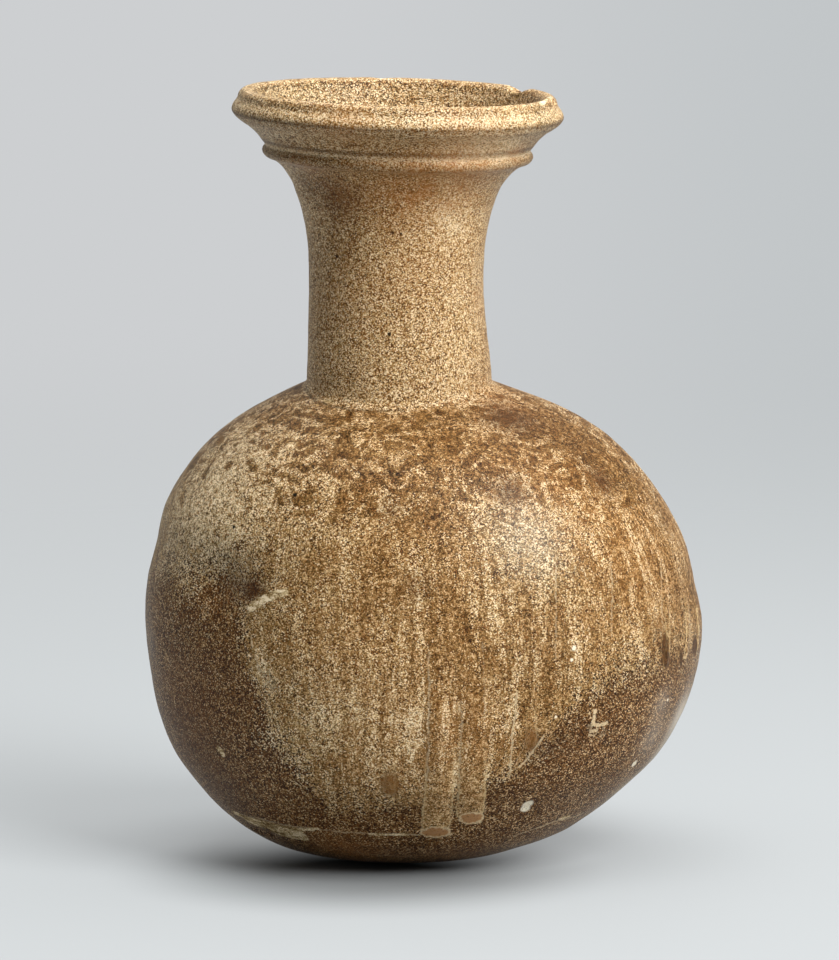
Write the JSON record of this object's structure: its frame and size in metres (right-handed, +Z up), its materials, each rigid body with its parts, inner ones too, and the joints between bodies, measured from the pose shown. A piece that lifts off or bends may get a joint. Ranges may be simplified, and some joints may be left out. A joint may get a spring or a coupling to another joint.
{
  "type": "long-necked stoneware bottle",
  "caption": "Hollow round-bodied bottle with a long neck and a flanged, ridged mouth, warped and chipped, standing on a small worn flat.",
  "frame": {"origin": "middle of the worn flat that the bottle stands on", "axes": "+Z up through the neck, -Y the side that the picture shows, +X to its right"},
  "size_m": [0.1744, 0.162, 0.2396],
  "materials": {
    "stoneware": "natural ash glaze, sandy and mottled, over dark bare clay"
  },
  "bodies": {
    "root": {"vessel": "stoneware"}
  },
  "joints": []
}
